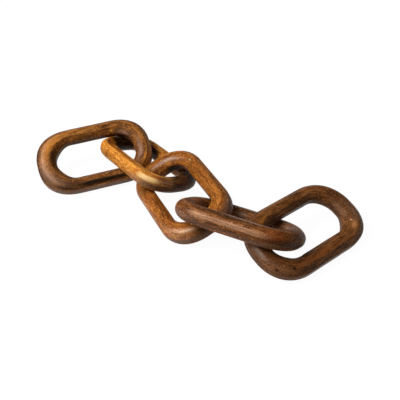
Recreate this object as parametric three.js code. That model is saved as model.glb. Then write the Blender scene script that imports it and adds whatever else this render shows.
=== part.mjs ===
// A whimsy chain: five loose links whittled from one length of wood, lying in a slack zigzag.
// Millimetres, +Z up. The chain runs along X, and the origin is on the table under its middle.
//
// Each link is an oblong ring with a frame of its own: x runs along its length, y across its
// width and z out of its plane. Its front is the -y side and its right is the +x end.

import * as THREE from 'three';
import { mergeVertices } from 'three/addons/utils/BufferGeometryUtils.js';

// The link that the carver aimed at. length and width are outside sizes. The bar's thickness is
// taken in the plane of the ring, along its sides and across its ends, and its height out of it.
// cornerBend is the radius of the bar's middle line at a corner, and cornerSwell how much wood is
// left on each face of the bar there. arrisWidth is how wide the edges between its flats are eased.
const linkLength = 130;
const linkWidth = 79;
const sideThickness = 18;
const endThickness = 21;
const barHeight = 18.5;
const cornerBend = 27;
const cornerSwell = 1;
const arrisWidth = 2;

// The links as they came out, each size as a share of the one aimed at. front and back are the
// thickness of the sides, and right and left that of the ends. turn is the way that the link
// points as it lies, and lean how it tips about its own length, in degrees.
const links = [
  {
    name: 'first_link',
    length: 0.998, width: 1.054, arris: 0.87,
    front: 0.97, right: 0.9, back: 1.02, left: 1.05, sideHeight: 0.9, endHeight: 1.12,
    bends: { frontRight: 1.03, backRight: 1.03, backLeft: 1.12, frontLeft: 1.14 },
    swells: { frontRight: 0.5, backRight: 1, backLeft: 1.65, frontLeft: 1.5 },
    turn: 17.6, lean: 21.2, colour: 0x7a4a26,
  },
  {
    name: 'second_link',
    length: 0.958, width: 0.968, arris: 1.33,
    front: 0.99, right: 0.94, back: 1.03, left: 0.9, sideHeight: 0.935, endHeight: 0.875,
    bends: { frontRight: 0.88, backRight: 1.01, backLeft: 0.74, frontLeft: 0.72 },
    swells: { frontRight: -0.25, backRight: 1, backLeft: 0.75, frontLeft: -0.25 },
    turn: -50.3, lean: -20.1, colour: 0xb8782e,
  },
  {
    name: 'third_link',
    length: 1.024, width: 0.992, arris: 1.2,
    front: 1.005, right: 1.115, back: 1.005, left: 1.155, sideHeight: 1.055, endHeight: 1.07,
    bends: { frontRight: 1, backRight: 0.89, backLeft: 1.01, frontLeft: 0.96 },
    swells: { frontRight: 1, backRight: 1.5, backLeft: 0.45, frontLeft: 0.4 },
    turn: -63.1, lean: 21.2, colour: 0x9a6029,
  },
  {
    name: 'fourth_link',
    length: 1.004, width: 0.99, arris: 0.87,
    front: 1.01, right: 1.05, back: 1.01, left: 1.005, sideHeight: 1.045, endHeight: 1.04,
    bends: { frontRight: 0.975, backRight: 1.045, backLeft: 0.95, frontLeft: 0.85 },
    swells: { frontRight: 1, backRight: -0.45, backLeft: 0.1, frontLeft: 0.5 },
    turn: -26.4, lean: -34.8, colour: 0x70462c,
  },
  {
    name: 'fifth_link',
    length: 0.998, width: 0.999, arris: 1.07,
    front: 1.05, right: 1.015, back: 0.96, left: 0.935, sideHeight: 0.975, endHeight: 1,
    bends: { frontRight: 0.995, backRight: 1.09, backLeft: 1.09, frontLeft: 1.05 },
    swells: { frontRight: 1.55, backRight: 0.5, backLeft: 1.4, frontLeft: 0.95 },
    turn: 39.1, lean: 18.9, colour: 0x563520,
  },
];

// How each link hangs in the one before it. joinSlack is how far the two ends usually are from
// pulling tight, slack a join's share of it, and bearing the way that the later link is pulled.
const joinSlack = 9;
const joins = [
  { slack: 1.15, bearing: -31.4 },
  { slack: 1.37, bearing: -58.3 },
  { slack: 0.48, bearing: -58 },
  { slack: 1.26, bearing: 25.9 },
];

// How far the whole zigzag is turned so that it runs along X.
const chainTurn = 27;

// Room left between two links that touch, and how deep the table has worn the bars that lie on it.
const clearance = 0.35;
const restingWear = 0.5;

// The least straight that a bend leaves before the middle of a side or an end.
const leastStraight = 0.5;

// How the links settle: how fast they sink at first and for how many rounds, and how a link's
// weight is spread, as a share of its length.
const firstSink = 0.1;
const settlingRounds = 300;
const gyrationShare = 0.36;

// Stations along each bend and each straight, for a link's skin and for the spots where it touches.
const skinSteps = { bend: 12, straight: 2 };
const touchSteps = { bend: 9, straight: 12 };

const radians = THREE.MathUtils.degToRad;
const up = new THREE.Vector3(0, 0, 1);

// The bar's section has eight flats with a softened arris between each two of them.
const facetCount = 16;
const facetTurn = (2 * Math.PI) / facetCount;
const facetWays = Array.from({ length: facetCount }, (_, facet) => (
  new THREE.Vector2(Math.cos(facet * facetTurn), Math.sin(facet * facetTurn))
));

/** How far each facet lies from the middle of a bar whose half thickness is 1. */
function facetReaches(arris, { front, back, sideHeight }) {
  const halfThickness = ((front + back) / 2 + sideHeight) / 2;
  const sharpCorner = 1 / Math.cos(facetTurn);
  const cut = arris / halfThickness / (2 * Math.tan(3 * facetTurn));
  return Array.from({ length: facetCount }, (_, facet) => (facet % 2 ? sharpCorner - cut : 1));
}

/** The section's corners, where each facet meets the next. */
function sectionCorners(reaches) {
  return reaches.map((reach, facet) => {
    const nextReach = reaches[(facet + 1) % facetCount];
    const along = (nextReach - reach * Math.cos(facetTurn)) / Math.sin(facetTurn);
    return new THREE.Vector2(reach, along).rotateAround(new THREE.Vector2(), facet * facetTurn);
  });
}

/** A link's bends or swells at its four corners: each share times the size aimed at. */
function atCorners(shares, size) {
  return Object.fromEntries(Object.entries(shares).map(([corner, share]) => [corner, share * size]));
}

/** Half sizes of the bar and of its middle line, its corners, and the shape of its section. */
function gauge(link) {
  const halfBar = {
    front: link.front * sideThickness / 2,
    right: link.right * endThickness / 2,
    back: link.back * sideThickness / 2,
    left: link.left * endThickness / 2,
    sideHeight: link.sideHeight * barHeight / 2,
    endHeight: link.endHeight * barHeight / 2,
  };
  const halfLength = (link.length * linkLength - halfBar.right - halfBar.left) / 2;
  const halfWidth = (link.width * linkWidth - halfBar.front - halfBar.back) / 2;
  const bends = atCorners(link.bends, cornerBend);
  for (const corner in bends) {
    bends[corner] = Math.min(bends[corner], Math.min(halfLength, halfWidth) - leastStraight);
  }
  const swells = atCorners(link.swells, cornerSwell);
  const reaches = facetReaches(link.arris * arrisWidth, halfBar);
  const corners = sectionCorners(reaches);
  return { halfBar, halfLength, halfWidth, bends, swells, reaches, corners };
}

/** The corner of the ring that lies towards a point in its plane. */
function cornerTowards(x, y) {
  return (y < 0 ? 'front' : 'back') + (x < 0 ? 'Left' : 'Right');
}

/** Half thickness of the bar, in and out of the plane, where its outer side faces (x, y). */
function barFacing({ halfBar, swells }, x, y) {
  const end = x < 0 ? halfBar.left : halfBar.right;
  const side = y < 0 ? halfBar.front : halfBar.back;
  const cornerness = 4 * x * x * y * y;
  return {
    inPlane: end * x * x + side * y * y + swells[cornerTowards(x, y)] * cornerness,
    outOfPlane: halfBar.endHeight * x * x + halfBar.sideHeight * y * y,
  };
}

/** The bar's middle line, an oblong with rounded corners, walked anticlockwise from the front. */
function middleLine({ halfLength, halfWidth, bends }) {
  const line = new THREE.Path();
  const quarter = Math.PI / 2;
  [[1, -1], [1, 1], [-1, 1], [-1, -1]].forEach(([endSign, sideSign], index) => {
    const bend = bends[cornerTowards(endSign, sideSign)];
    const start = (index - 1) * quarter;
    const x = endSign * (halfLength - bend);
    const y = sideSign * (halfWidth - bend);
    line.absarc(x, y, bend, start, start + quarter);
  });
  return line.closePath();
}

/** Stations along the middle line, each with the way its bar faces outwards. */
function walk(ring, { bend, straight }) {
  return middleLine(ring).curves.flatMap((curve) => {
    const steps = curve.isEllipseCurve ? bend : straight;
    return Array.from({ length: steps }, (_, step) => {
      const middle = curve.getPoint(step / steps);
      const along = curve.getTangent(step / steps);
      return { middle, outward: new THREE.Vector2(along.y, -along.x) };
    });
  });
}

/** A corner of the section, carried to a station of the ring. */
function skinPoint(ring, { middle, outward }, corner) {
  const bar = barFacing(ring, outward.x, outward.y);
  const reach = corner.x * bar.inPlane;
  return new THREE.Vector3(
    middle.x + outward.x * reach,
    middle.y + outward.y * reach,
    corner.y * bar.outOfPlane,
  );
}

/** The link's closed skin: a torus grid whose points are moved onto the carved bar. */
function carve(ring) {
  const stations = walk(ring, skinSteps);
  const skin = new THREE.TorusGeometry(1, 0.5, facetCount, stations.length);
  const position = skin.attributes.position;
  for (let index = 0; index < position.count; index++) {
    const station = stations[index % (stations.length + 1) % stations.length];
    const corner = ring.corners[Math.floor(index / (stations.length + 1)) % facetCount];
    const { x, y, z } = skinPoint(ring, station, corner);
    position.setXYZ(index, x, y, z);
  }
  skin.deleteAttribute('normal');
  skin.deleteAttribute('uv');
  return mergeVertices(skin);
}

/** The part of the ring nearest a point in its plane: how far outside the middle line the point
 * is, and which way the bar faces outwards there. */
function nearestBar(ring, x, y) {
  const bend = ring.bends[cornerTowards(x, y)];
  const pastEnd = Math.abs(x) - (ring.halfLength - bend);
  const pastSide = Math.abs(y) - (ring.halfWidth - bend);
  const outward = new THREE.Vector2(pastEnd, pastSide);
  if (pastEnd < 0 || pastSide < 0) outward.set(Number(pastEnd > pastSide), Number(pastEnd <= pastSide));
  const offset = Math.max(pastEnd, pastSide, pastEnd > 0 && pastSide > 0 ? outward.length() : 0) - bend;
  outward.normalize();
  if (x < 0) outward.x = -outward.x;
  if (y < 0) outward.y = -outward.y;
  return { offset, outward };
}

/** How far a point in the ring's own frame is outside its skin, and the way out of it. */
function gapToSkin(ring, { x, y, z }) {
  const { offset, outward } = nearestBar(ring, x, y);
  const bar = barFacing(ring, outward.x, outward.y);
  const outsideBar = Math.max(Math.abs(offset) - bar.inPlane, Math.abs(z) - bar.outOfPlane);
  if (outsideBar > clearance) return { gap: outsideBar };
  const nearest = { gap: -Infinity };
  facetWays.forEach((way, facet) => {
    const inPlane = way.x / bar.inPlane;
    const outOfPlane = way.y / bar.outOfPlane;
    const steepness = Math.hypot(inPlane, outOfPlane);
    const gap = (inPlane * offset + outOfPlane * z - ring.reaches[facet]) / steepness;
    if (gap > nearest.gap) Object.assign(nearest, { gap, outward, inPlane, outOfPlane });
  });
  return nearest;
}

/** One link: its mesh, its gauged ring, and the spots of its skin that can touch another link. */
function whittle(link) {
  const ring = gauge(link);
  const material = new THREE.MeshStandardMaterial({
    color: link.colour, roughness: 0.45, metalness: 0, flatShading: true,
  });
  const mesh = new THREE.Mesh(carve(ring), material);
  mesh.name = link.name;
  mesh.rotation.set(radians(link.lean), 0, radians(link.turn), 'ZYX');
  const spots = walk(ring, touchSteps).flatMap(
    (station) => ring.corners.map((corner) => skinPoint(ring, station, corner)),
  );
  return { mesh, ring, spots, gyration: gyrationShare * link.length * linkLength };
}

/** Lays the links out on the table, each one hung in the one before it. */
function layOut(chain) {
  joins.forEach(({ slack, bearing }, index) => {
    const [held, hung] = [chain[index], chain[index + 1]];
    const overlap = held.ring.halfBar.right + hung.ring.halfBar.left + slack * joinSlack;
    const back = new THREE.Vector3(-overlap, 0, 0).applyAxisAngle(up, radians(bearing));
    const heldEnd = new THREE.Vector3(held.ring.halfLength, 0, 0);
    const hungEnd = new THREE.Vector3(hung.ring.halfLength, 0, 0);
    heldEnd.applyQuaternion(held.mesh.quaternion);
    hungEnd.applyQuaternion(hung.mesh.quaternion);
    hung.mesh.position.copy(held.mesh.position).add(heldEnd).add(back).add(hungEnd);
  });
  for (const link of chain) {
    link.mesh.updateMatrixWorld();
    link.mesh.position.z -= lowestSpot(link).z;
  }
}

/** Where one link's skin comes deepest into another's clearance, or null if it stays out. */
function deepestContact(from, into) {
  const carry = into.mesh.matrixWorld.clone().invert().multiply(from.mesh.matrixWorld);
  const spot = new THREE.Vector3();
  const deepest = { gap: clearance };
  for (const skinSpot of from.spots) {
    spot.copy(skinSpot).applyMatrix4(carry);
    const nearest = gapToSkin(into.ring, spot);
    if (nearest.gap < deepest.gap) Object.assign(deepest, nearest, { at: spot.clone() });
  }
  if (!deepest.at) return null;
  const { outward, inPlane, outOfPlane } = deepest;
  const wayOut = new THREE.Vector3(outward.x * inPlane, outward.y * inPlane, outOfPlane);
  return {
    depth: clearance - deepest.gap,
    at: deepest.at.applyMatrix4(into.mesh.matrixWorld),
    wayOut: wayOut.transformDirection(into.mesh.matrixWorld),
  };
}

/** How far a link's skin moves at a point for a unit push there, by its slide and its turn. */
function giveAt({ mesh, gyration }, at, way) {
  return 1 + at.clone().sub(mesh.position).cross(way).lengthSq() / gyration ** 2;
}

/** Slides and turns a link by a push at a point. */
function shove({ mesh, gyration }, at, push) {
  const twist = at.clone().sub(mesh.position).cross(push).divideScalar(gyration ** 2);
  const angle = twist.length();
  mesh.quaternion.premultiply(new THREE.Quaternion().setFromAxisAngle(twist.normalize(), angle));
  mesh.position.add(push);
  mesh.updateMatrixWorld();
}

/** Moves two links apart where one digs into the other. The more squarely they lie on each other
 * the better they grip, so the more they are only lifted. */
function part(from, into) {
  const contact = deepestContact(from, into);
  if (!contact) return;
  const { depth, at, wayOut } = contact;
  const slip = (1 - wayOut.z ** 2) ** 2;
  const way = new THREE.Vector3(slip * wayOut.x, slip * wayOut.y, wayOut.z).normalize();
  const push = depth / way.dot(wayOut) / (giveAt(from, at, way) + giveAt(into, at, way));
  shove(from, at, way.clone().multiplyScalar(push));
  shove(into, at, way.clone().multiplyScalar(-push));
}

/** The lowest spot of a link's skin. */
function lowestSpot({ mesh, spots }) {
  const spot = new THREE.Vector3();
  const lowest = new THREE.Vector3(0, 0, Infinity);
  for (const skinSpot of spots) {
    spot.copy(skinSpot).applyMatrix4(mesh.matrixWorld);
    if (spot.z < lowest.z) lowest.copy(spot);
  }
  return lowest;
}

/** Lifts a link where it has sunk below the table. */
function bearOnTable(link) {
  const lowest = lowestSpot(link);
  if (lowest.z < 0) {
    shove(link, lowest, up.clone().multiplyScalar(-lowest.z / giveAt(link, lowest, up)));
  }
}

/** Lets the links sink by ever smaller steps until each one rests on the table and the others. */
function settle(chain) {
  const reach = 2;
  const pairs = chain.flatMap((link, index) => chain
    .slice(index + 1, index + 1 + reach)
    .flatMap((other) => [[link, other], [other, link]]));
  for (let round = 0; round < settlingRounds; round++) {
    const sink = firstSink * (1 - round / settlingRounds) ** 3;
    for (const link of chain) link.mesh.position.z -= sink;
    for (const link of chain) link.mesh.updateMatrixWorld();
    for (const [from, into] of pairs) part(from, into);
    for (const link of chain) bearOnTable(link);
  }
}

/** Flattens a link wherever it would reach below the table. */
function wearFlat({ mesh }) {
  const position = mesh.geometry.attributes.position;
  const spot = new THREE.Vector3();
  for (let index = 0; index < position.count; index++) {
    mesh.localToWorld(spot.fromBufferAttribute(position, index));
    if (spot.z >= 0) continue;
    mesh.worldToLocal(spot.setZ(0));
    position.setXYZ(index, spot.x, spot.y, spot.z);
  }
}

/** The whole chain, settled on the table, turned along X and centred over the origin. */
function makeChain() {
  const chain = links.map(whittle);
  layOut(chain);
  settle(chain);
  const zigzag = new THREE.Group();
  for (const link of chain) {
    link.mesh.position.z -= restingWear;
    link.mesh.updateMatrixWorld();
    wearFlat(link);
    zigzag.add(link.mesh);
  }
  zigzag.rotation.z = radians(chainTurn);
  const whole = new THREE.Group().add(zigzag);
  const middle = new THREE.Box3().setFromObject(whole, true).getCenter(new THREE.Vector3());
  zigzag.position.set(-middle.x, -middle.y, 0);
  return whole;
}

export default makeChain();
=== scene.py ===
"""A whittled chain of five loose links: fine wood over its solids, a table, lights and a camera."""

import math
from collections import namedtuple

import bmesh
import bpy
import numpy as np
from mathutils import Euler, Matrix, Vector, noise
from mathutils.bvhtree import BVHTree


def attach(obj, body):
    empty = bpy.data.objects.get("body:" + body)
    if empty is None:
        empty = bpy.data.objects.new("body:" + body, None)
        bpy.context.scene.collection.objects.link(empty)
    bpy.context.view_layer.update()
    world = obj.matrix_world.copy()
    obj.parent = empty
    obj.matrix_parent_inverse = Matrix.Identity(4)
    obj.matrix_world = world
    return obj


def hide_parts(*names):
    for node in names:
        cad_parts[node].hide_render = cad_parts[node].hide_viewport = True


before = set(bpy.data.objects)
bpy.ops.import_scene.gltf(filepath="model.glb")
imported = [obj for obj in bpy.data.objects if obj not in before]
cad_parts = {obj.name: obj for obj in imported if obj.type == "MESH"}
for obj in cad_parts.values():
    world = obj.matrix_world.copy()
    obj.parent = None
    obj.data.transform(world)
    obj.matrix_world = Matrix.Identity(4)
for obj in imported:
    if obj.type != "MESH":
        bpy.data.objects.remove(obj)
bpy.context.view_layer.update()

MM = 0.001

# The photograph is this many pixels a side. A spot on the wood is named by its pixel there.
PHOTO_SIDE = 400

# Where the photograph was taken from: which way the camera faces, how far it looks down, how far
# it stands from the spot it looks at, and its slight tilt. Blender takes the sensor's width and
# the lens in millimetres.
CAMERA_TURN = math.radians(28.8)
CAMERA_DIP = math.radians(39.0)
CAMERA_DISTANCE = 666.6 * MM
CAMERA_AIM = Vector((7.7, 9.4, -0.5)) * MM
CAMERA_TILT = math.radians(-1.37)
SENSOR_WIDTH = 36
LENS = 54.9

# The solid's triangles become faces again: points closer than this are one point, and triangles
# that bend less than this are one face.
ONE_POINT = 0.01 * MM
ONE_FACE = math.radians(40)

# How fine the wood is cut: steps along a bar longer than LONGEST_STEP are divided first, then
# every face both ways.
LONGEST_STEP = 8 * MM
LONG_CUTS = 7
FINE_CUTS = 6

# An edge runs lengthways if more than this share of its length does.
LENGTHWAYS = 0.99

# The bar's flats: how many there are, how much deeper they are at most as their depth wanders, how
# far it is from one such hollow to the next, how far apart the flats lie in the noise that their
# depths come from, and how wide wear shows at the arrises.
FLATS = 8
FLAT_WANDER_SHARE = 2.5
FLAT_WANDER_LENGTH = 16 * MM
FLAT_NOISE_STEP = 9
ARRIS_WEAR = 0.5 * MM

# The arrises are rubbed down at the end: how many times, and how far each point then moves
# towards its neighbours.
RUBS = 2
RUB_SHARE = 0.5


def new_mesh_object(name, bm):
    """An object with this bmesh for its mesh, in the scene."""
    mesh = bpy.data.meshes.new(name)
    bm.to_mesh(mesh)
    bm.free()
    made = bpy.data.objects.new(name, mesh)
    bpy.context.scene.collection.objects.link(made)
    return made


# The camera

def camera_turned(location_from_aim):
    """A place given right, forward and up from the camera's aim, turned the way it faces."""
    return CAMERA_AIM + Matrix.Rotation(CAMERA_TURN, 3, "Z") @ Vector(location_from_aim)


def make_camera():
    """The camera, where the photograph was taken from."""
    data = bpy.data.cameras.new("camera")
    data.sensor_width = SENSOR_WIDTH
    data.lens = LENS
    made = bpy.data.objects.new("camera", data)
    bpy.context.scene.collection.objects.link(made)
    back = CAMERA_DISTANCE * math.cos(CAMERA_DIP)
    above = CAMERA_DISTANCE * math.sin(CAMERA_DIP)
    facing = Euler((math.pi / 2 - CAMERA_DIP, 0, CAMERA_TURN)).to_matrix()
    made.matrix_world = Matrix.LocRotScale(
        camera_turned((0, -back, above)), facing @ Matrix.Rotation(CAMERA_TILT, 3, "Z"), None
    )
    bpy.context.scene.camera = made
    return made


def ray_through(camera, pixel):
    """The way from the camera to a pixel of the photograph."""
    per_pixel = SENSOR_WIDTH / LENS / PHOTO_SIDE
    right, down = ((place - PHOTO_SIDE / 2) * per_pixel for place in pixel)
    return (camera.matrix_world.to_3x3() @ Vector((right, -down, -1))).normalized()


# The wood's form

def wander(middles, flat):
    """How deep a flat has wandered at each place along the bar, from 0 to 1."""
    offset = Vector((0, 0, FLAT_NOISE_STEP * flat))
    places = [Vector(middle) / FLAT_WANDER_LENGTH + offset for middle in middles]
    return np.array([(1 + noise.noise(place)) / 2 for place in places])


class Link:
    """A link's fine mesh, with the way that its grain and its bar run."""

    def __init__(self, node, wood):
        self.node = node
        self.bm = bmesh.new()
        self.bm.from_mesh(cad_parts[node].data)
        self.square_up()
        self.find_grain()
        self.divide()
        self.find_rings()
        self.plane_flats(wood)
        self.rub_down()
        self.tree = BVHTree.FromBMesh(self.bm)
        self.marks = {kind: np.zeros(len(self.bm.verts)) for kind in (*TINTS, "polish")}

    def square_up(self):
        """Joins the solid's loose triangles into its four-sided faces."""
        bm = self.bm
        bmesh.ops.remove_doubles(bm, verts=bm.verts, dist=ONE_POINT)
        bmesh.ops.join_triangles(
            bm, faces=bm.faces, angle_face_threshold=ONE_FACE, angle_shape_threshold=math.pi
        )

    def find_grain(self):
        """Finds the link's middle, and the ways along its length, across it and out of its plane."""
        places = np.array([vert.co for vert in self.bm.verts])
        self.middle = places.mean(0)
        spread = np.linalg.eigh(np.cov((places - self.middle).T))[1]
        along, out = spread[:, 2], spread[:, 0]
        along *= np.sign(along[0])
        out *= np.sign(out[2])
        self.axes = np.array([along, np.cross(out, along), out])

    def places_in_link(self):
        """Every point, along the grain, across it and out of the link's plane."""
        return (np.array([vert.co for vert in self.bm.verts]) - self.middle) @ self.axes.T

    def edges_along_bar(self):
        """The edges that run along the bar. The others go round its section."""
        middle, length_way = Vector(self.middle), Vector(self.axes[0])

        def off_middle(edge):
            start, end = (vert.co - middle for vert in edge.verts)
            lengthways = abs((end - start).normalized().dot(length_way))
            off = abs((start + end).dot(length_way))
            return off if lengthways > LENGTHWAYS else math.inf

        along_bar = {min(self.bm.edges, key=off_middle)}
        waiting = list(along_bar)
        while waiting:
            edge = waiting.pop()
            for loop in edge.link_loops:
                across = loop.link_loop_next.link_loop_next.edge
                onwards = loop.link_loop_next.link_loop_radial_next.link_loop_next.edge
                for found in {across, onwards} - along_bar:
                    along_bar.add(found)
                    waiting.append(found)
        return along_bar

    def divide(self):
        """Divides the faces to about half a millimetre, first the long ones, and keeps the bends
        round along the bar and its flats flat."""
        bm = self.bm
        long_edges = [edge for edge in bm.edges if edge.calc_length() > LONGEST_STEP]
        bmesh.ops.subdivide_edges(bm, edges=long_edges, cuts=LONG_CUTS, use_grid_fill=True)
        along_bar = self.edges_along_bar()
        bmesh.ops.subdivide_edges(bm, edges=list(along_bar), cuts=FINE_CUTS, smooth=1)
        along_bar = self.edges_along_bar()
        round_bar = [edge for edge in bm.edges if edge not in along_bar]
        bmesh.ops.subdivide_edges(bm, edges=round_bar, cuts=FINE_CUTS)

    def find_rings(self):
        """Finds the rings of points round the bar, in their order along it, and each one's middle,
        the way ahead along the bar and the way outwards from the hole."""
        self.bm.verts.ensure_lookup_table()
        self.bm.verts.index_update()
        along_bar = self.edges_along_bar()
        round_bar = set(self.bm.edges) - along_bar

        def closed_walk(start, edges):
            path, last_edge = [start], None
            while True:
                last_edge = next(
                    edge for edge in path[-1].link_edges if edge in edges and edge is not last_edge
                )
                vert = last_edge.other_vert(path[-1])
                if vert is start:
                    return path
                path.append(vert)

        self.rings = np.array([
            [vert.index for vert in closed_walk(first, round_bar)]
            for first in closed_walk(self.bm.verts[0], along_bar)
        ])
        middles = self.places_in_link()[self.rings].mean(1)
        ahead = np.roll(middles, -1, 0) - np.roll(middles, 1, 0)
        self.ahead = ahead / np.linalg.norm(ahead, axis=1, keepdims=True)
        outwards = np.cross(self.ahead, (0, 0, 1))
        self.outwards = outwards * np.sign((outwards * middles).sum(1, keepdims=True))
        steps = np.linalg.norm(np.roll(middles, -1, 0) - middles, axis=1)
        self.round_length = steps.sum()
        self.runs = np.cumsum(steps) - steps

    def by_point(self, values):
        """Values held ring by ring, put in the order of the mesh's points."""
        ordered = np.empty((len(self.bm.verts),) + values.shape[2:])
        ordered[self.rings] = values
        return ordered

    def along_rings(self, values):
        """Gives each point its ring's value."""
        return self.by_point(values[:, None])

    def plane_flats(self, wood):
        """Planes the bar's eight flats, to one depth on the sides and another at the ends, and
        rounds them off towards the ends. Each one's depth wanders a little along the bar, as a
        knife leaves it."""
        end = np.abs(self.ahead[:, 1:2])
        depth = wood.side_depth + (wood.end_depth - wood.side_depth) * end
        places = self.places_in_link()[self.rings]
        middles = places.mean(1)
        outwards = self.outwards[:, None]
        off_middle = places - middles[:, None]
        section = np.stack([(off_middle * outwards).sum(2), off_middle[..., 2]], axis=2)
        low, high = section.min(1, keepdims=True), section.max(1, keepdims=True)
        centre, half_size = (low + high) / 2, (high - low) / 2
        planed = (section - centre) / half_size
        slack = []
        for flat in range(FLATS):
            turn = flat / FLATS * 2 * math.pi
            facing = np.array([math.cos(turn), math.sin(turn)])
            deeper = FLAT_WANDER_SHARE * wander(middles, flat)[:, None]
            reach = 1 - depth * (1 + deeper) / half_size.mean(2)
            beyond = np.maximum(planed @ facing - reach, 0)
            planed -= beyond[..., None] * facing
            slack.append(reach - planed @ facing)
        radii = np.linalg.norm(planed, axis=2, keepdims=True)
        rounded = (wood.end_roundness * end)[..., None]
        planed *= 1 + rounded * (radii.mean(1, keepdims=True) / radii - 1)
        change = planed * half_size + centre - section
        places += change[..., :1] * outwards
        places[..., 2] += change[..., 1]
        self.bm.verts.ensure_lookup_table()
        moved = places.reshape(-1, 3) @ self.axes + self.middle
        for index, place in zip(self.rings.ravel(), moved):
            self.bm.verts[index].co = place
        self.section = self.by_point(planed * half_size)
        self.inside = self.by_point(np.clip(-planed[..., 0], 0, 1) ** 2)
        near_arris = np.sort(slack, axis=0)[1] * half_size.mean(2)
        worn = np.clip(1 - near_arris / ARRIS_WEAR, 0, 1)
        self.arris = self.by_point(worn * (1 - rounded[..., 0]))

    def rub_down(self):
        """Eases the arrises."""
        for _ in range(RUBS):
            bmesh.ops.smooth_vert(
                self.bm, verts=self.bm.verts, factor=RUB_SHARE,
                use_axis_x=True, use_axis_y=True, use_axis_z=True,
            )
        self.bm.normal_update()

    def reach_of(self, mark, camera):
        """How much of a mark each point has, from 1 where a pixel of the photograph shows its
        middle."""
        self.bm.faces.ensure_lookup_table()
        start = camera.matrix_world.translation
        place, _, face, _ = self.tree.ray_cast(start, ray_through(camera, mark.pixel))
        nearest = min(self.bm.faces[face].verts, key=lambda vert: (vert.co - place).length).index
        runs = self.along_rings(self.runs)
        ahead = runs - runs[nearest]
        ahead -= self.round_length * np.round(ahead / self.round_length)
        turn = np.arctan2(self.section[:, 1], self.section[:, 0])
        aside = turn - turn[nearest]
        aside -= 2 * math.pi * np.round(aside / (2 * math.pi))
        aside *= np.hypot(*self.section[nearest])
        off = [ahead / (mark.length / 2), aside / (mark.width / 2)]
        return np.exp(-(np.abs(off) ** mark.edge).sum(0))

    def add_mark(self, mark, camera):
        """Adds a mark to the wood. Wood is cut away or left standing at once, and a tint is kept
        for the finish."""
        reach = self.reach_of(mark, camera)
        if mark.kind == "wood":
            for vert, share in zip(self.bm.verts, reach):
                vert.co += vert.normal * (mark.strength * share)
            self.bm.normal_update()
        else:
            marked = self.marks[mark.kind]
            np.maximum(marked, mark.strength * reach, out=marked)

    def bar_places(self):
        """Where each point lies on its bar: two coordinates that go round the link with the bar,
        and how far outwards it is from the bar's middle."""
        radius = self.round_length / (2 * math.pi)
        turns = self.along_rings(self.runs)[:, None] / radius
        return np.hstack([radius * np.cos(turns), radius * np.sin(turns), self.section[:, :1]])


def finished_link(link, finish):
    """The link's own object, with its finish, riding in place of its solid."""
    patterns = {
        "grain": link.places_in_link(), "bar": link.bar_places(), "arris": link.arris,
        "end": np.abs(link.along_rings(link.ahead)[:, 1]), "inside": link.inside, **link.marks,
    }
    made = new_mesh_object(link.node + "_wood", link.bm)
    mesh = made.data
    for name, values in patterns.items():
        kind, part = ("FLOAT", "value") if values.ndim == 1 else ("FLOAT_VECTOR", "vector")
        mesh.attributes.new(name, kind, "POINT").data.foreach_set(part, values.ravel())
    mesh.materials.append(finish.material)
    mesh.shade_smooth()
    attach(made, "root")
    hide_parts(link.node)


# Finishes

class Value:
    """A number, a vector or a colour that changes over the surface. Arithmetic on a number adds
    Math nodes."""

    def __init__(self, finish, socket):
        self.finish = finish
        self.socket = socket

    def worked(self, operation, *operands):
        """The result of a Math node."""
        inputs = dict(enumerate(operands))
        return self.finish.node("Math", {"operation": operation}, inputs, "Value")

    def __add__(self, other):
        return self.worked("ADD", self, other)

    def __sub__(self, other):
        return self.worked("SUBTRACT", self, other)

    def __rsub__(self, other):
        return self.worked("SUBTRACT", other, self)

    def __mul__(self, other):
        return self.worked("MULTIPLY", self, other)

    def __truediv__(self, other):
        return self.worked("DIVIDE", self, other)

    __radd__ = __add__

    def between(self, low, high):
        """0 up to low and 1 from high, with a smooth rise between them."""
        settings = {"interpolation_type": "SMOOTHSTEP"}
        inputs = {"Value": self, "From Min": low, "From Max": high, "To Min": 0, "To Max": 1}
        return self.finish.node("MapRange", settings, inputs, "Result")


def set_stops(elements, stops):
    """Sets a colour ramp's stops, each a place and a colour."""
    while len(elements) < len(stops):
        elements.new(1)
    for element, (place, colour) in zip(elements, stops):
        element.position = place
        element.color = colour


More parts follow.
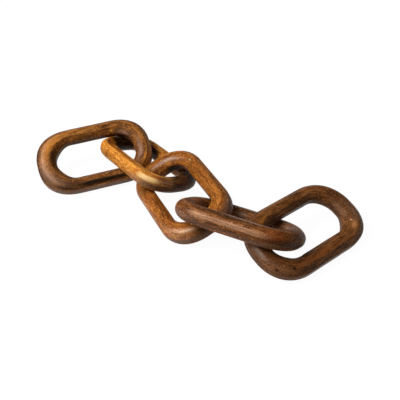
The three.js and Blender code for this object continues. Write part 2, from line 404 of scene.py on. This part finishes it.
class Finish:
    """A material, and the nodes that make it."""

    # The Mix node's sockets for colours, by number, because others have the same names.
    MIX_UNDER, MIX_OVER, MIX_RESULT = 6, 7, 2

    def __init__(self, name):
        self.material = bpy.data.materials.new(name)
        self.material.use_nodes = True
        self.tree = self.material.node_tree
        self.shader = self.tree.nodes["Principled BSDF"]

    def feed(self, socket, value):
        """Sets a socket to a number or a colour, or links it."""
        if isinstance(value, Value):
            self.tree.links.new(value.socket, socket)
        else:
            socket.default_value = value

    def node(self, kind, settings, inputs, output):
        """Adds a node: its settings, a ramp's stops among them, then what its sockets take. Gives
        one of its outputs."""
        made = self.tree.nodes.new("ShaderNode" + kind)
        for name, value in settings.items():
            if name == "stops":
                set_stops(made.color_ramp.elements, value)
            else:
                setattr(made, name, value)
        for socket, value in inputs.items():
            self.feed(made.inputs[socket], value)
        return Value(self, made.outputs[output])

    def attribute(self, name, output="Fac"):
        """An attribute of the piece."""
        return self.node("Attribute", {"attribute_name": name}, {}, output)

    def scaled(self, vector, scale):
        """A vector with each of its parts multiplied."""
        return self.node("VectorMath", {"operation": "MULTIPLY"}, {0: vector, 1: scale}, "Vector")

    def noise(self, place, detail, roughness, fourth=None):
        """Noise from 0 to 1, about one unit from hill to hill, with or without a fourth
        coordinate."""
        inputs = {"Vector": place, "Scale": 1, "Detail": detail, "Roughness": roughness}
        if fourth is None:
            return self.node("TexNoise", {}, inputs, "Fac")
        return self.node("TexNoise", {"noise_dimensions": "4D"}, {**inputs, "W": fourth}, "Fac")

    def mixed(self, share, under, over):
        """One colour over another."""
        inputs = {"Factor": share, self.MIX_UNDER: under, self.MIX_OVER: over}
        return self.node("Mix", {"data_type": "RGBA"}, inputs, self.MIX_RESULT)

    def ramp(self, value, *stops):
        """A colour for each value, by stops, each a place and a colour."""
        return self.node("ValToRGB", {"stops": stops}, {"Fac": value}, "Color")

    def set_shader(self, **inputs):
        """Feeds the main shader's sockets, named with _ for each space."""
        for name, value in inputs.items():
            self.feed(self.shader.inputs[name.replace("_", " ")], value)


def rgb(red, green, blue):
    """A colour from its shades, 0 to 255, by the sRGB standard's curve."""
    def linear(shade):
        shade /= 255
        return shade / 12.92 if shade <= 0.04045 else ((shade + 0.055) / 1.055) ** 2.4
    return (linear(red), linear(green), linear(blue), 1)


# How widely the patterns sway the wood's tone, how much of their sway the streaks lose and the grit
# gains at the ends, and how much painted shade darkens the bar on the side of the hole.
BROAD_SWAY = 1.1
FIBRE_SWAY = 1.4
END_STREAK_LOSS = 0.5
END_GRIT_GAIN = 0.4
HOLE_SHADE = 0.12

# Where the dark, middle and light tones stand on the scale of tones.
DARK_TONE = 0.2
MIDDLE_TONE = 0.5
LIGHT_TONE = 0.78

# How fully the dark tone shows in pores, the light one in flecks and at worn arrises, and the
# bright specks' own colour in them.
PORE_SHARE = 0.3
FLECK_SHARE = 0.45
WEAR_SHARE = 0.4
SPARK_SHARE = 0.8

# How widely the fibres and the grit break up the tint of a mark.
TINT_FIBRES = 2
TINT_GRIT = 1.2

# The wood's roughness, how widely it sways with the figure, how much more of it the pores have,
# and how much less the worn arrises and the polished marks have.
ROUGHNESS = 0.5
FIGURE_ROUGHNESS = 0.3
PORE_ROUGHNESS = 0.2
ARRIS_SMOOTHNESS = 0.06
POLISH_SMOOTHNESS = 0.12

# The wood's fine relief: its strength and its height, and as shares of that height, how high the
# patterns stand and how deep the pores are.
RELIEF_STRENGTH = 0.4
RELIEF_HEIGHT = 0.25 * MM
FIBRE_HEIGHT = 0.6
FIGURE_HEIGHT = 0.5
GRIT_HEIGHT = 0.4
PORE_DEPTH = 0.8

# How much wax lies on a polished mark, and the tint of the wood's shine.
POLISH_COAT = 0.6
WAX = rgb(255, 214, 176)

# The tints of marks, in the order that they lie over the wood. Amber is a warmer tone of the wood
# and, in places, painted light on shaded wood, and russet is a redder tone of it. Cream and pale
# are painted highlights, haze is a waxy film with painted sheen, and the stain is dark stain with
# painted shadow where other links and the holes shade the wood.
TINTS = {
    "amber": rgb(215, 135, 50), "russet": rgb(124, 54, 14), "cream": rgb(246, 206, 134),
    "pale": rgb(226, 170, 126), "haze": rgb(176, 142, 122), "stain": rgb(18, 7, 2),
}


def sway(pattern, width):
    """A pattern from 0 to 1 made to sway about 0, this widely."""
    return (pattern - 0.5) * width


def wood_finish(wood):
    """Oiled and waxed wood. Its streaks follow the bar, and its ends are speckled."""
    finish = Finish(wood.slot)
    bar = finish.attribute("bar", "Vector")
    grain = finish.attribute("grain", "Vector")
    rise = finish.node("SeparateXYZ", {}, {"Vector": grain}, "Z")
    end = finish.attribute("end")
    arris = finish.attribute("arris")
    inside = finish.attribute("inside")
    polish = finish.attribute("polish")

    def streaks(length, width, detail):
        """Noise drawn out along the bar."""
        place = finish.scaled(bar, (1 / length, 1 / length, 1 / width))
        return finish.noise(place, detail, roughness=0.6, fourth=rise / width)

    def specks(size):
        """Noise of small dots."""
        return finish.noise(finish.scaled(grain, (1 / size,) * 3), detail=1, roughness=0.5)

    broad = streaks(length=30 * MM, width=6 * MM, detail=2)
    figure = streaks(length=14 * MM, width=2.2 * MM, detail=3)
    fibres = streaks(length=9 * MM, width=1 * MM, detail=3)
    pores = streaks(length=2.5 * MM, width=0.9 * MM, detail=1).between(low=0.6, high=0.7)
    flecks = streaks(length=4 * MM, width=0.9 * MM, detail=1).between(low=0.6, high=0.72)
    grit = specks(size=1.1 * MM)
    sparks = specks(size=1.9 * MM).between(low=0.64, high=0.71)

    streaky = 1 - end * END_STREAK_LOSS
    gritty = 1 + end * END_GRIT_GAIN
    coarse = sway(broad, BROAD_SWAY) + sway(figure, streaky)
    fine = sway(fibres, FIBRE_SWAY) * streaky + sway(grit, gritty)
    tone = coarse + fine * wood.boldness - inside * HOLE_SHADE + MIDDLE_TONE
    colour = finish.ramp(
        tone, (DARK_TONE, wood.dark), (MIDDLE_TONE, wood.mid), (LIGHT_TONE, wood.light)
    )
    broken = sway(fibres, TINT_FIBRES) + sway(grit, TINT_GRIT) + 1
    overlays = [
        (pores * PORE_SHARE, wood.dark),
        (flecks * FLECK_SHARE, wood.light),
        (sparks * SPARK_SHARE, wood.spark),
        (arris * grit * WEAR_SHARE, wood.light),
    ]
    # The marks' tints: the wood's own tones and stains, and painted highlights, sheen and shadow
    overlays += [(finish.attribute(kind) * broken, tint) for kind, tint in TINTS.items()]
    for share, over in overlays:
        colour = finish.mixed(share, colour, over)

    roughness = (
        ROUGHNESS + sway(figure, FIGURE_ROUGHNESS) + pores * PORE_ROUGHNESS
        - arris * ARRIS_SMOOTHNESS - polish * POLISH_SMOOTHNESS
    )
    height = (
        fibres * FIBRE_HEIGHT + figure * FIGURE_HEIGHT + grit * GRIT_HEIGHT - pores * PORE_DEPTH
    )
    relief = {"Strength": RELIEF_STRENGTH, "Distance": RELIEF_HEIGHT, "Height": height}
    finish.set_shader(
        Base_Color=colour, Roughness=roughness, Normal=finish.node("Bump", {}, relief, "Normal"),
        Specular_IOR_Level=0.25, Specular_Tint=WAX,
        Coat_Weight=polish * POLISH_COAT, Coat_Roughness=0.3,
    )
    return finish


# The table and the lights

# The table reaches this far each way, and a round wall of this many sides stands there.
ROOM_RADIUS = 12
WALL_SIDES = 64

# The table and the wall give off white light, this strongly, and hardly reflect any.
WHITE = (1, 1, 1, 1)
TABLE_GLOW = 0.96
TABLE_COLOUR = (0.06, 0.06, 0.06, 1)
TABLE_ROUGHNESS = 0.9

# How bright the dim room is.
ROOM_LIGHT = 0.2

# The softbox: its place right, forward and up from the chain, its side, and its power in watts.
KEY_PLACE = (-0.78, -0.2, 0.95)
KEY_SIDE = 0.9
KEY_POWER = 19


def make_table():
    """A wide table top that glows white, which the wood mirrors but isn't lit by, and a wall just
    as white all round it, which only the camera sees."""
    finish = Finish("lit_white")
    finish.set_shader(
        Base_Color=TABLE_COLOUR, Roughness=TABLE_ROUGHNESS, Emission_Color=WHITE,
        Emission_Strength=TABLE_GLOW,
    )
    bm = bmesh.new()
    bmesh.ops.create_grid(bm, x_segments=1, y_segments=1, size=ROOM_RADIUS)
    table = new_mesh_object("table", bm)
    bm = bmesh.new()
    bmesh.ops.create_cone(
        bm, cap_ends=False, segments=WALL_SIDES, radius1=ROOM_RADIUS, radius2=ROOM_RADIUS,
        depth=2 * ROOM_RADIUS,
    )
    wall = new_mesh_object("wall", bm)
    wall.visible_glossy = wall.visible_shadow = wall.visible_transmission = False
    for made in (table, wall):
        made.data.materials.append(finish.material)
        made.visible_diffuse = False


def make_softbox(name, place, side, power):
    """A square soft light, at a place right, forward and up from the chain, facing the chain."""
    data = bpy.data.lights.new(name, "AREA")
    data.shape = "SQUARE"
    data.size = side
    data.energy = power
    made = bpy.data.objects.new(name, data)
    bpy.context.scene.collection.objects.link(made)
    location = camera_turned(place)
    facing = (CAMERA_AIM - location).to_track_quat("-Z", "Y")
    made.matrix_world = Matrix.LocRotScale(location, facing, None)


def make_lights():
    """A dim room, and a large softbox high up on the chain's left."""
    room = bpy.data.worlds.new("room")
    room.use_nodes = True
    background = room.node_tree.nodes["Background"]
    background.inputs["Color"].default_value = WHITE
    background.inputs["Strength"].default_value = ROOM_LIGHT
    bpy.context.scene.world = room
    room.cycles_visibility.glossy = False
    make_softbox("key", KEY_PLACE, KEY_SIDE, KEY_POWER)
    bpy.context.scene.view_settings.view_transform = "Standard"


# Each link's wood: its finish's name, its dark, middle and light tones and its bright specks, how
# bold its grain is, how deep its flats are planed on its sides and at its ends, and how far its
# ends are rounded off.
Wood = namedtuple("Wood", "slot dark mid light spark boldness side_depth end_depth end_roundness")
WOODS = {
    "first_link": Wood(
        slot="brown_wood",
        dark=rgb(54, 26, 6), mid=rgb(114, 65, 22), light=rgb(168, 106, 44), spark=rgb(190, 124, 58),
        boldness=0.85, side_depth=0.12 * MM, end_depth=0.12 * MM, end_roundness=0.1,
    ),
    "second_link": Wood(
        slot="golden_wood",
        dark=rgb(136, 70, 12), mid=rgb(194, 116, 28), light=rgb(236, 162, 66), spark=rgb(255, 204, 110),
        boldness=1.05, side_depth=0.1 * MM, end_depth=0.05 * MM, end_roundness=0.7,
    ),
    "third_link": Wood(
        slot="amber_wood",
        dark=rgb(92, 46, 10), mid=rgb(142, 78, 18), light=rgb(188, 114, 44), spark=rgb(236, 168, 92),
        boldness=1.1, side_depth=0.1 * MM, end_depth=0.08 * MM, end_roundness=0.3,
    ),
    "fourth_link": Wood(
        slot="russet_wood",
        dark=rgb(50, 24, 8), mid=rgb(106, 59, 22), light=rgb(160, 98, 52), spark=rgb(200, 138, 92),
        boldness=1.2, side_depth=0.12 * MM, end_depth=0.02 * MM, end_roundness=0.9,
    ),
    "fifth_link": Wood(
        slot="dark_wood",
        dark=rgb(54, 28, 8), mid=rgb(100, 58, 24), light=rgb(140, 86, 44), spark=rgb(148, 98, 56),
        boldness=0.9, side_depth=0.1 * MM, end_depth=0.08 * MM, end_roundness=0.2,
    ),
}

# The marks on each link: what kind, the photograph's pixel at its middle, its length along the bar
# and its width round it, how strong it is, and how sharp its edge is, from 2 for a soft one. For a
# wood mark, the strength is how high it stands, below 0 for a pit or a nick, and a link's wood
# marks come last. Left, right, upper and lower are as the photograph shows them.
Mark = namedtuple("Mark", "kind pixel length width strength edge", defaults=(2,))
MARKS = {
    "first_link": (
        # Its left end
        # Painted highlight along its left arris, with wax on it
        Mark("pale", pixel=(42.5, 158), length=56 * MM, width=3.5 * MM, strength=0.45),
        Mark("polish", pixel=(43.5, 162), length=60 * MM, width=5 * MM, strength=0.25),
        Mark("amber", pixel=(51, 144), length=40 * MM, width=9 * MM, strength=0.55),
        Mark("stain", pixel=(37.5, 165), length=60 * MM, width=5 * MM, strength=0.5, edge=4),
        Mark("stain", pixel=(54.5, 163), length=48 * MM, width=9 * MM, strength=0.55, edge=6),
        Mark("haze", pixel=(49, 178), length=40 * MM, width=12 * MM, strength=0.4),
        Mark("stain", pixel=(49, 181), length=36 * MM, width=5 * MM, strength=0.35, edge=4),
        # Its upper bar
        Mark("stain", pixel=(84, 137.5), length=74 * MM, width=11 * MM, strength=0.2, edge=5),
        Mark("amber", pixel=(78, 136.5), length=30 * MM, width=3 * MM, strength=0.35),
        # Painted shadow along the upper bar's lower edge, where the second link passes under it
        Mark("stain", pixel=(106, 136.5), length=30 * MM, width=6 * MM, strength=0.6),
        Mark("amber", pixel=(111, 130.5), length=5 * MM, width=3 * MM, strength=0.9),
        Mark("stain", pixel=(120, 127), length=16 * MM, width=12 * MM, strength=0.2),
        Mark("amber", pixel=(118, 125), length=18 * MM, width=9 * MM, strength=0.15),
        # Its right end
        # Painted grey sheen on its inner facets
        Mark("haze", pixel=(124, 132), length=20 * MM, width=6 * MM, strength=0.3),
        # Painted shadow where the second link's left end meets it
        Mark("stain", pixel=(122, 134.5), length=30 * MM, width=7 * MM, strength=0.75),
        Mark("haze", pixel=(140.5, 149), length=30 * MM, width=6 * MM, strength=0.5),
        Mark("amber", pixel=(144.5, 157), length=14 * MM, width=3 * MM, strength=0.5),
        # Painted light on its shaded right flank
        Mark("amber", pixel=(149.5, 148), length=24 * MM, width=6 * MM, strength=0.5),
        # Its lower bar
        # Painted shade along the front of its lower bar
        Mark("stain", pixel=(103, 179.5), length=72 * MM, width=5.5 * MM, strength=1, edge=4),
        Mark("amber", pixel=(80, 185.5), length=9 * MM, width=2 * MM, strength=0.7),
        Mark("russet", pixel=(76, 183), length=24 * MM, width=4 * MM, strength=0.6),
        Mark("stain", pixel=(75, 184), length=40 * MM, width=8 * MM, strength=0.75),
        Mark("stain", pixel=(65, 188.5), length=28 * MM, width=5.5 * MM, strength=0.8),
        # Painted grey sheen on its lowest facets
        Mark("haze", pixel=(95, 188.3), length=76 * MM, width=7 * MM, strength=0.7, edge=4),
        # The swelling where it meets the second link
        Mark("wood", pixel=(118, 134), length=22 * MM, width=9 * MM, strength=1.5 * MM),
    ),
    "second_link": (
        # Its left end
        Mark("stain", pixel=(109, 140.5), length=34 * MM, width=5 * MM, strength=0.45),
        Mark("russet", pixel=(110, 141), length=24 * MM, width=7 * MM, strength=0.85),
        Mark("stain", pixel=(104, 153), length=40 * MM, width=9 * MM, strength=0.4),
        # Its upper bar
        # Painted shadow where it passes under the first link's right end
        Mark("stain", pixel=(123.5, 143), length=34 * MM, width=26 * MM, strength=1.1, edge=8),
        Mark("stain", pixel=(152.5, 154), length=20 * MM, width=16 * MM, strength=1.1, edge=4),
        # Its lower bar
        Mark("amber", pixel=(129, 161), length=48 * MM, width=9 * MM, strength=0.35),
        Mark("russet", pixel=(129, 158.5), length=56 * MM, width=5 * MM, strength=0.6, edge=4),
        # Painted highlight, with wax on it
        Mark("cream", pixel=(146.5, 178), length=20 * MM, width=6 * MM, strength=0.8, edge=4),
        Mark("amber", pixel=(144, 177), length=22 * MM, width=9 * MM, strength=0.6, edge=4),
        Mark("polish", pixel=(146, 177), length=16 * MM, width=7 * MM, strength=0.4, edge=4),
        Mark("haze", pixel=(141, 181.5), length=40 * MM, width=5 * MM, strength=0.5),
        # Its right end
        Mark("russet", pixel=(158, 179), length=18 * MM, width=9 * MM, strength=0.8),
        # Painted shade over its underside and its right end, under the third link
        Mark("stain", pixel=(161, 189), length=48 * MM, width=12 * MM, strength=0.9),
        Mark("stain", pixel=(167, 183), length=16 * MM, width=20 * MM, strength=0.6, edge=4),
        Mark("haze", pixel=(170, 184), length=20 * MM, width=3 * MM, strength=0.5),
        Mark("haze", pixel=(181, 172), length=6 * MM, width=5 * MM, strength=0.9),
        Mark("haze", pixel=(187, 180), length=56 * MM, width=44 * MM, strength=0.3, edge=6),
        Mark("stain", pixel=(189, 180), length=52 * MM, width=44 * MM, strength=0.9, edge=6),
        Mark("stain", pixel=(192, 176), length=24 * MM, width=40 * MM, strength=1.1, edge=4),
        # The swelling where it meets the first link
        Mark("wood", pixel=(117, 138), length=22 * MM, width=9 * MM, strength=0.9 * MM),
    ),
    "third_link": (
        # Its upper end
        Mark("stain", pixel=(151, 163.5), length=14 * MM, width=12 * MM, strength=0.5),
        # Painted pinkish-grey sheen along its inner arris, with wax on it
        Mark("haze", pixel=(166, 160), length=40 * MM, width=4 * MM, strength=0.8),
        Mark("polish", pixel=(167, 159), length=30 * MM, width=5 * MM, strength=0.6),
        Mark("amber", pixel=(168, 163.5), length=10 * MM, width=4 * MM, strength=0.5),
        # Painted shadow in its hole, under the second link
        Mark("stain", pixel=(175, 168), length=34 * MM, width=9 * MM, strength=1.2, edge=3),
        # A small painted highlight
        Mark("cream", pixel=(190, 159.5), length=4 * MM, width=2 * MM, strength=0.5),
        # Its right bar
        Mark("russet", pixel=(199, 170), length=26 * MM, width=9 * MM, strength=0.3),
        Mark("stain", pixel=(200, 174), length=44 * MM, width=10 * MM, strength=0.3),
        Mark("amber", pixel=(204, 183), length=60 * MM, width=5 * MM, strength=0.2),
        Mark("stain", pixel=(215, 183), length=44 * MM, width=5 * MM, strength=0.35, edge=4),
        Mark("haze", pixel=(229, 204), length=26 * MM, width=9 * MM, strength=0.4),
        Mark("stain", pixel=(229, 207), length=32 * MM, width=14 * MM, strength=0.55),
        # Its left bar
        # Painted shadow under the second link
        Mark("stain", pixel=(146, 189), length=16 * MM, width=24 * MM, strength=0.5, edge=3),
        Mark("russet", pixel=(150, 200), length=22 * MM, width=6 * MM, strength=0.5),
        Mark("haze", pixel=(146, 207), length=64 * MM, width=4 * MM, strength=0.5, edge=4),
        Mark("russet", pixel=(165, 222), length=14 * MM, width=5 * MM, strength=0.4),
        # Its lower end
        # Painted highlight on its lower end, with wax on it
        Mark("pale", pixel=(171, 233), length=26 * MM, width=9 * MM, strength=0.3),
        Mark("pale", pixel=(182, 231.5), length=26 * MM, width=5 * MM, strength=0.7),
        Mark("polish", pixel=(184, 231.5), length=24 * MM, width=6 * MM, strength=0.7),
        Mark("haze", pixel=(190, 240.5), length=50 * MM, width=6 * MM, strength=0.45),
        # Painted shadow where the fourth link shades it
        Mark("stain", pixel=(204, 230), length=24 * MM, width=22 * MM, strength=0.8),
    ),
    "fourth_link": (
        # Its left end
        Mark("haze", pixel=(179, 214), length=34 * MM, width=7 * MM, strength=0.3),
        Mark("amber", pixel=(195, 199.5), length=12 * MM, width=6 * MM, strength=0.35),
        # Its upper bar
        # Painted shadow in the crack beside the third link
        Mark("stain", pixel=(221, 206), length=14 * MM, width=16 * MM, strength=0.9, edge=4),
        Mark("haze", pixel=(241, 214), length=12 * MM, width=6 * MM, strength=0.5),
        # Its lower bar
        # Painted highlight along the flat of its lower bar, with wax on it
        Mark("pale", pixel=(200, 215.5), length=18 * MM, width=7 * MM, strength=0.5, edge=3),
        Mark("pale", pixel=(232, 226), length=62 * MM, width=5 * MM, strength=0.35, edge=8),
        Mark("polish", pixel=(226, 223.5), length=74 * MM, width=6 * MM, strength=0.7, edge=10),
        Mark("stain", pixel=(224, 215), length=80 * MM, width=6 * MM, strength=0.6, edge=4),
        Mark("stain", pixel=(225, 231), length=90 * MM, width=7 * MM, strength=0.35, edge=6),
        # Its right end
        Mark("russet", pixel=(275, 236), length=18 * MM, width=14 * MM, strength=0.45, edge=6),
        Mark("stain", pixel=(288, 246), length=50 * MM, width=9 * MM, strength=0.75),
        Mark("haze", pixel=(287, 228), length=26 * MM, width=6 * MM, strength=0.35),
        Mark("stain", pixel=(297, 240), length=26 * MM, width=16 * MM, strength=0.4),
    ),
    "fifth_link": (
        # Its left end
        # Painted shadow where the fourth link shades it
        Mark("stain", pixel=(260, 248), length=16 * MM, width=30 * MM, strength=0.45),
        # Painted grey sheen, with wax on it
        Mark("haze", pixel=(261, 254.5), length=16 * MM, width=4 * MM, strength=0.45),
        Mark("polish", pixel=(261, 254.5), length=16 * MM, width=6 * MM, strength=0.4),
        Mark("haze", pixel=(268, 264), length=40 * MM, width=12 * MM, strength=0.1),
        # Its bars, first the upper one
        Mark("amber", pixel=(264, 220), length=18 * MM, width=7 * MM, strength=0.25),
        Mark("russet", pixel=(320, 254), length=50 * MM, width=4 * MM, strength=0.5),
        # Its right end
        # Painted grey sheen on its right end
        Mark("haze", pixel=(339, 208), length=26 * MM, width=6 * MM, strength=0.1),
        Mark("haze", pixel=(352, 210), length=34 * MM, width=6 * MM, strength=0.2),
        # A painted highlight dot and patch
        Mark("pale", pixel=(351.3, 219.7), length=2.5 * MM, width=2.5 * MM, strength=0.9),
        Mark("amber", pixel=(354, 224), length=12 * MM, width=7 * MM, strength=0.45),
        Mark("pale", pixel=(354.5, 224.5), length=9 * MM, width=5 * MM, strength=0.2),
        Mark("stain", pixel=(347, 238), length=22 * MM, width=6 * MM, strength=0.35),
        # Two pits near its left end, and the nick in its hole
        Mark("stain", pixel=(277, 270.5), length=3 * MM, width=2.5 * MM, strength=1),
        Mark("stain", pixel=(295, 268.5), length=3.5 * MM, width=2.5 * MM, strength=1),
        Mark("wood", pixel=(295, 268.5), length=3.5 * MM, width=3 * MM, strength=-0.4 * MM),
        Mark("wood", pixel=(277, 270.5), length=3.5 * MM, width=3 * MM, strength=-0.4 * MM),
        Mark("wood", pixel=(304, 256), length=4 * MM, width=6 * MM, strength=-1 * MM),
    ),
}


camera = make_camera()
make_table()
make_lights()
for node, wood in WOODS.items():
    link = Link(node, wood)
    for mark in MARKS[node]:
        link.add_mark(mark, camera)
    finished_link(link, wood_finish(wood))
